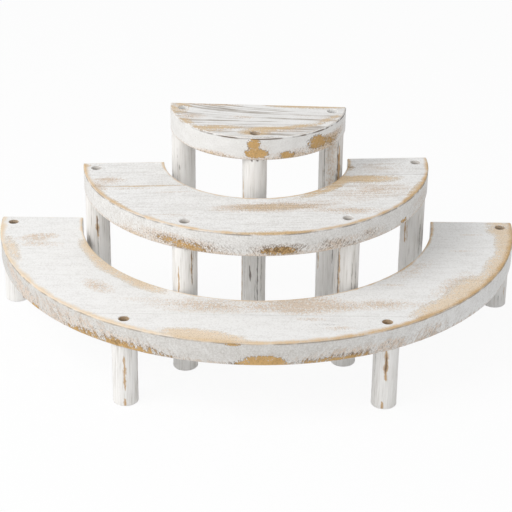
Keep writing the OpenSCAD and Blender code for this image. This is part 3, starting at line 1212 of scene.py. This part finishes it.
    def thin_wash(self):
        """Paint rubbed thin: pinkish beige, with darker lines where the grain comes through."""
        add = self.add
        look = self.look
        colours = self.colours
        line_most = add("MapRange", (self.on_face, 0.0, 1.0, 0.2, look["face_marks"] / 6))
        line_share = add("MapRange", (self.marks, 0.46, 0.68))
        line_share = add("Math", (line_share, line_most), "MULTIPLY")
        pale_share = add("Math", (self.on_face, look["pale"]), "MULTIPLY")
        tan_share = add("MapRange", (self.thinned, 0.9, 2.0, 0.0, 0.9))
        tan_share = add("Math", (tan_share, 1 - look["pale"]), "MULTIPLY")
        return coats(
            add, colours.thin_wash, (pale_share, colours.pale_wash),
            (tan_share, colours.pale_pine), (line_share, colours.late_wood),
        )

    def bare_wood(self):
        """Bare pine: pale on the faces, golden on the rims, with late wood along the grain."""
        add = self.add
        look = self.look
        colours = self.colours
        late_most = add("MapRange", (self.on_face, 0.0, 1.0, 0.45, look["face_marks"] / 8))
        late_share = add("MapRange", (self.marks, 0.45, 0.7))
        late_share = add("Math", (late_share, late_most), "MULTIPLY")
        face_wood = coats(add, colours.pale_pine, (look["pale"], colours.washed_pine))
        return coats(add, colours.golden_pine, (self.on_face, face_wood), (late_share, colours.late_wood))

    def band_wood(self):
        """Bare pine in the band along the edges, more or less golden from left to right."""
        colours = self.colours
        middle_third = self.riser.outer / MM / 3
        gold = self.add("MapRange", (self.x, -middle_third, middle_third, *self.look["band_gold"]))
        return coats(self.add, colours.band_pine, (gold, colours.golden_pine))

    def old_stain(self):
        """How strongly old stain shows."""
        add = self.add
        look = self.look

        # In specks where the paint is rubbed
        specks = spots(add, self.by_board, (1.1, 1.4, 1.1), 2.0, 0.7)
        worn = add("Math", (self.bare, self.rubbed), "ADD")
        worn = add("Math", (worn, 0.9), "MINIMUM")
        speck_level = add("Math", (worn, 0.16, specks), "MULTIPLY_ADD")
        calm = add("Math", (self.wash_share, look["pale"]), "MULTIPLY")
        calm = add("Math", (calm, self.bare_share), "MAXIMUM")
        most_specks = add("MapRange", (calm, 0.0, 1.0, 0.7, 0.32))
        stain = add("MapRange", (speck_level, 0.66, 0.78))
        stain = add("Math", (stain, most_specks), "MULTIPLY")

        # In its own places, given in the tables
        stained = self.wear_from(FACE_STAINED, RIM_STAINED)
        texture = add("Math", (specks, self.marks), "ADD")
        texture = add("MapRange", (texture, 0.85, 1.2, 0.1, 1.7))
        stained = add("Math", (stained, texture), "MULTIPLY")
        stained = add("MapRange", (stained, 0.3, 0.95, 0.0, 0.75))

        # Round the ragged ends of the paint
        at_end = add("Math", (self.exposed, 0.48), "SUBTRACT")
        at_end = add("Math", (at_end,), "ABSOLUTE")
        at_end = add("MapRange", (at_end, 0.0, 0.16, 1.0, 0.0))
        end_strength = add("MapRange", (self.on_face, 0.0, 1.0, 0.75, 0.25))
        end_zone = add("MapRange", (self.flecks, 0.35, 0.55, 0.35, 1.0))

        # In the seams
        broken = add("MapRange", (self.marks, 0.4, 0.6, 0.15, 1.0))

        # In a line along the outer edge, broken in blotches and fainter at its left end
        off_edge = add("Math", (self.from_outer, self.below_top), "SUBTRACT")
        off_edge = add("Math", (off_edge, 1.2), "ADD")
        off_edge = add("Math", (off_edge,), "ABSOLUTE")
        edge_line = add("MapRange", (off_edge, 0.4, 1.1, look["edge_line"], 0.0))
        edge_zone = add("MapRange", (self.blotches, 0.4, 0.55, 0.1, 1.0))
        edge_start = add("MapRange", (self.degrees, -50.0, -30.0, look["left_edge_line"], 1.0))
        edge_zone = add("Math", (edge_zone, edge_start), "MULTIPLY")
        near_edge = add("MapRange", (self.below_top, 2.5, 3.0, 1.0, 0.0))

        # The darkest of these shows
        for share, *limits in (
            (stained,),
            (at_end, end_strength, end_zone),
            (self.seam_line, broken, self.on_face),
            (edge_line, edge_zone, near_edge),
        ):
            for limit in limits:
                share = add("Math", (share, limit), "MULTIPLY")
            stain = add("Math", (stain, share), "MAXIMUM")
        return stain


def whitewashed_pine(riser):
    """Pine boards, glued edge to edge, brushed with chalky white paint and rubbed back by hand.

    The eye sees matt white, mottled by the brush, with grey grain showing through along the boards, thin
    pinkish wash where the paint is rubbed, and bare wood on the edges with old stain round the ragged ends
    of the paint. The paint stands about 0.1 mm proud, and the brush and the grain leave fine ridges.
    """
    pine = PineNodes(riser)
    add = pine.add
    pine.wear_paint()
    finish = coats(
        add, pine.paint(), (pine.wash_share, pine.thin_wash()), (pine.bare_share, pine.bare_wood()),
        (pine.edge_band(), pine.band_wood()), (pine.old_stain(), pine.colours.old_stain),
    )
    covered = add("Math", (1.0, pine.bare_share), "SUBTRACT")
    height = add("Math", (covered, 0.6), "MULTIPLY")
    for pattern, weight in ((pine.marks, 0.35), (pine.flecks, 0.3)):
        height = add("Math", (pattern, weight, height), "MULTIPLY_ADD")
    gloss = add("MapRange", (covered, 0.0, 1.0, 0.8, 0.62))
    finish_surface(add, finish, gloss, height, 0.5, 0.25 * MM)
    return pine.material


def whitewashed_dowel():
    """Softwood dowel, brushed with the same white paint, which has sunk into the open grain.

    The eye sees chalky white with upright grey streaks, brown drying cracks and a few bare streaks, and
    painted shade in the same brown low on some legs and just under the top shelf.
    """
    colours = bpy.context.scene.stand_colours
    material, add = new_material("whitewashed_dowel")
    place = add("TexCoord").outputs["Object"]
    crack_and_shade_marks = add("Attribute", attribute_name="check").outputs["Fac"]
    bare = add("Attribute", attribute_name="bare").outputs["Fac"]
    fine = spots(add, place, (1.2 * MM, 1.2 * MM, 26 * MM), 3.0, 0.6)
    broad = spots(add, place, (5 * MM, 5 * MM, 50 * MM), 2.0)
    flecks = spots(add, place, (1.1 * MM, 1.1 * MM, 3 * MM), 2.0, 0.6)

    streaks = add("MapRange", (fine, 0.36, 0.62))
    zones = add("MapRange", (broad, 0.4, 0.62, 0.08, 0.5))
    grey = add("Math", (streaks, zones), "MULTIPLY")
    lines = add("MapRange", (fine, 0.6, 0.72, 0.0, 0.35))
    ragged = add("Math", (flecks, 0.9, -0.45), "MULTIPLY_ADD")
    bare_edge = add("Math", (bare, ragged), "ADD")
    bare_share = add("MapRange", (bare_edge, 0.15, 0.6, 0.0, 0.9))
    # Cracks and painted shade marks both take the crack colour here
    crack_and_shade_edge = add("Math", (ragged, 0.5, crack_and_shade_marks), "MULTIPLY_ADD")
    crack_and_shade_share = add("MapRange", (crack_and_shade_edge, 0.1, 0.7, 0.0, 0.85))
    finish = coats(
        add, colours.dowel_white, (grey, colours.dowel_grey), (lines, colours.grain_grey),
        (bare_share, colours.streak_tan), (crack_and_shade_share, colours.check_and_shade_brown),
    )
    height = 1.0
    for pattern, weight in ((fine, -0.8), (flecks, 0.2)):
        height = add("Math", (pattern, weight, height), "MULTIPLY_ADD")
    finish_surface(add, finish, 0.68, height, 0.6, 0.25 * MM)
    return material


def drilled_pine(riser):
    """Pine cut by a drill, with the white paint run over its torn fibres: grey tan, with painted shade down
    the hole.
    """
    colours = bpy.context.scene.stand_colours
    look = FINISH[riser.name]
    material, add = new_material(riser.name + "_drilled_pine")
    place = add("TexCoord").outputs["Object"]
    torn = spots(add, place, (1.6 * MM, 1.6 * MM, 2.5 * MM), 3.0, 0.65)
    torn_share = add("MapRange", (torn, 0.35, 0.65, 0.0, 0.5))
    split = add("SeparateXYZ", (place,)).outputs
    rear_y = riser.centre.y - 2 * riser.leg_r
    front_y = riser.centre.y - riser.outer + 2 * riser.leg_r
    painted = add("MapRange", (split["Y"], rear_y, front_y, *look["painted_holes"]))
    # Painted shade: from 2.2 mm down, the walls darken in the stain colour, most at 4.8 mm, by a share that
    # runs from the back holes to the front ones
    depth = add("Math", (riser.high, split["Z"]), "SUBTRACT")
    darkest = add("MapRange", (split["Y"], rear_y, front_y, *look["painted_hole_shade"]))
    painted_depth_shade = add("MapRange", (depth, 2.2 * MM, 4.8 * MM, 0.0, darkest))
    finish = coats(
        add, colours.golden_pine, (torn_share, colours.old_stain),
        (painted, colours.white_paint), (painted_depth_shade, colours.old_stain),
    )
    finish_surface(add, finish, 0.85, torn, 0.7, 0.3 * MM)
    return material


def zinc_plated_steel():
    """Zinc-plated steel: a dull silver with a faint yellow cast and small dull patches."""
    colours = bpy.context.scene.stand_colours
    material, add = new_material("zinc_plated_steel")
    place = add("TexCoord").outputs["Object"]
    patches = spots(add, place, (1.5 * MM, 1.5 * MM, 1.5 * MM), 3.0)
    gloss = add("MapRange", (patches, 0.3, 0.7, 0.28, 0.5))
    shader = add("BsdfPrincipled", {"Base Color": colours.zinc, "Metallic": 1.0, "Roughness": gloss})
    add("OutputMaterial", {"Surface": shader})
    return material


def seen_white(add, lit, seen_share):
    """Mixes a lit shader with plain white light where the camera, a gloss or clear glass looks at it."""
    ray = add("LightPath").outputs
    kind = "Background" if lit.bl_idname == "ShaderNodeBackground" else "Emission"
    white = add(kind, {"Color": (1, 1, 1, 1), "Strength": 1.0})
    looked = add("Math", (ray["Is Camera Ray"], ray["Is Glossy Ray"]), "MAXIMUM")
    looked = add("Math", (looked, ray["Is Transmission Ray"]), "MAXIMUM")
    share = add("Math", (looked, seen_share), "MULTIPLY")
    return add("MixShader", (share, lit, white))


def make_stage():
    """The pale floor, the white surroundings, soft lamps from the upper left and the camera."""
    colours = bpy.context.scene.stand_colours
    scene = bpy.context.scene
    scene.view_settings.view_transform = "Standard"
    only()
    bpy.ops.mesh.primitive_plane_add(size=14, location=(0, 0, 0))
    floor = bpy.context.object
    floor.name = "floor"
    material, add = new_material("pale_floor")
    matt = add("BsdfDiffuse", {"Color": colours.floor})
    add("OutputMaterial", {"Surface": seen_white(add, matt, 0.92)})
    floor.data.materials.append(material)

    scene.world = bpy.data.worlds.new("white_studio")
    add = node_adder(scene.world)
    glow = add("Background", {"Color": (0.98, 0.99, 1.0, 1.0), "Strength": 0.59})
    add("OutputWorld", {"Surface": seen_white(add, glow, 1.0)})

    for name, place, size, power in LAMPS:
        only()
        bpy.ops.object.light_add(type="AREA", location=place)
        lamp = bpy.context.object
        lamp.name = name
        lamp.data.size = size
        lamp.data.energy = power
        lamp.rotation_mode = "QUATERNION"
        lamp.rotation_quaternion = (Vector((0, 0, 0.1)) - Vector(place)).to_track_quat("-Z", "Y")

    yaw, pitch, roll = (math.radians(degrees) for degrees in CAMERA_TURNS)
    ahead = Vector((math.sin(yaw) * math.cos(pitch), math.cos(yaw) * math.cos(pitch), -math.sin(pitch)))
    level_right = ahead.cross(Vector((0, 0, 1))).normalized()
    level_up = level_right.cross(ahead)
    right = math.cos(roll) * level_right + math.sin(roll) * level_up
    up = right.cross(ahead)
    bpy.ops.object.camera_add()
    camera = bpy.context.object
    camera.name = "photo_camera"
    turned = Matrix((right, up, -ahead)).transposed().to_4x4()
    camera.matrix_world = Matrix.Translation(CAMERA_PLACE) @ turned
    camera.data.sensor_width = 36
    camera.data.lens = CAMERA_LENS
    camera.data.clip_end = 40
    scene.camera = camera


class DISPLAYSTAND_OT_bottom_planks(bpy.types.Operator):
    """Models the planks of the bottom riser's shelf"""

    bl_idname = "display_stand.bottom_planks"
    bl_label = "Bottom shelf planks"

    def execute(self, context):
        make_planks("bottom")
        return {"FINISHED"}


class DISPLAYSTAND_OT_middle_planks(bpy.types.Operator):
    """Models the planks of the middle riser's shelf"""

    bl_idname = "display_stand.middle_planks"
    bl_label = "Middle shelf planks"

    def execute(self, context):
        make_planks("middle")
        return {"FINISHED"}


class DISPLAYSTAND_OT_top_planks(bpy.types.Operator):
    """Models the planks of the top riser's shelf"""

    bl_idname = "display_stand.top_planks"
    bl_label = "Top shelf planks"

    def execute(self, context):
        make_planks("top")
        return {"FINISHED"}


class DISPLAYSTAND_OT_legs(bpy.types.Operator):
    """Models the dowel legs of all three risers"""

    bl_idname = "display_stand.legs"
    bl_label = "Dowel legs"

    def execute(self, context):
        for name in LEGS:
            make_legs(name)
        return {"FINISHED"}


class DISPLAYSTAND_OT_screws(bpy.types.Operator):
    """Models the screws of all three risers"""

    bl_idname = "display_stand.screws"
    bl_label = "Screws"

    def execute(self, context):
        make_screws()
        return {"FINISHED"}


class DISPLAYSTAND_OT_stage(bpy.types.Operator):
    """Sets up the floor, the lamps and the camera"""

    bl_idname = "display_stand.stage"
    bl_label = "Stage"

    def execute(self, context):
        make_stage()
        return {"FINISHED"}


OPERATORS = (
    DISPLAYSTAND_OT_bottom_planks,
    DISPLAYSTAND_OT_middle_planks,
    DISPLAYSTAND_OT_top_planks,
    DISPLAYSTAND_OT_legs,
    DISPLAYSTAND_OT_screws,
    DISPLAYSTAND_OT_stage,
)


class DISPLAYSTAND_PT_panel(bpy.types.Panel):
    """Lists the stand's sizes, colours and pieces"""

    bl_label = "Display stand"
    bl_idname = "DISPLAYSTAND_PT_panel"
    bl_space_type = "VIEW_3D"
    bl_region_type = "UI"
    bl_category = "Display stand"

    def draw(self, context):
        layout = self.layout
        for group in (context.scene.stand_sizes, context.scene.stand_colours):
            for name in group.bl_rna.properties.keys():
                if name not in ("rna_type", "name"):
                    layout.prop(group, name)
        for operator in OPERATORS:
            layout.operator(operator.bl_idname)


CLASSES = (StandSizes, StandColours, *OPERATORS, DISPLAYSTAND_PT_panel)


def register():
    for each in CLASSES:
        bpy.utils.register_class(each)
    bpy.types.Scene.stand_sizes = bpy.props.PointerProperty(type=StandSizes)
    bpy.types.Scene.stand_colours = bpy.props.PointerProperty(type=StandColours)


def unregister():
    del bpy.types.Scene.stand_colours
    del bpy.types.Scene.stand_sizes
    for each in reversed(CLASSES):
        bpy.utils.unregister_class(each)


def main():
    register()
    for operator in OPERATORS:
        group, name = operator.bl_idname.split(".")
        getattr(getattr(bpy.ops, group), name)()
    only()
    bpy.context.view_layer.update()


if __name__ == "__main__":
    main()
